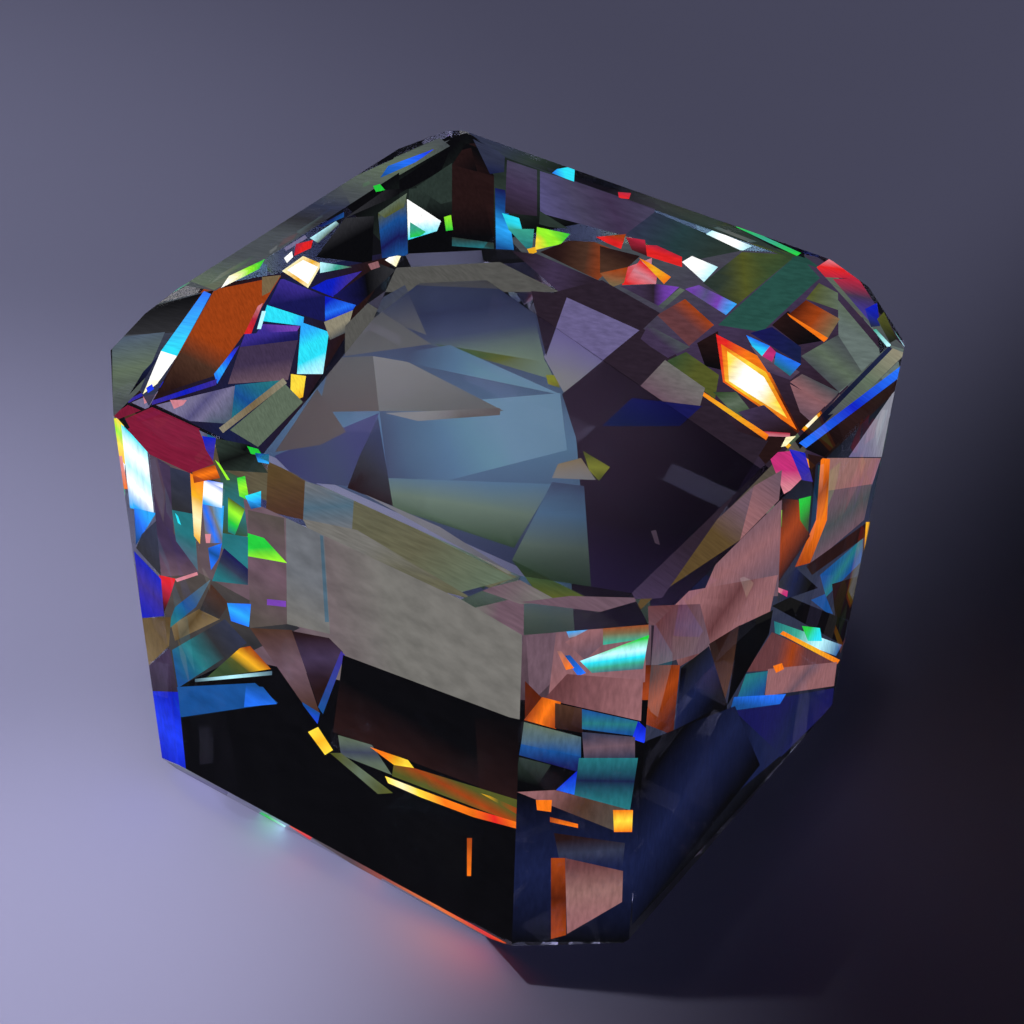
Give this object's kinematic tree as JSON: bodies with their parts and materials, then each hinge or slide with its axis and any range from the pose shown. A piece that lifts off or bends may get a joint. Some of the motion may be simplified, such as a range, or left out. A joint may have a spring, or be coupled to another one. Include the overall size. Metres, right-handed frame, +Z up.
{
  "type": "faceted gemstone",
  "caption": "Loose block-shaped step-cut topaz with a broad flat table, a shallow step, upright walls, cut corners, a bevelled foot and a flat base.",
  "frame": {"origin": "centre of the footprint, on the flat base", "axes": "+Z up from the base through the table; X and Y across the two pairs of parallel walls"},
  "size_m": [0.02, 0.0196, 0.0133],
  "materials": {
    "clear_stone": "polished, clear, with rainbow fire"
  },
  "bodies": {
    "root": {"topaz_stone": "clear_stone"}
  },
  "joints": []
}
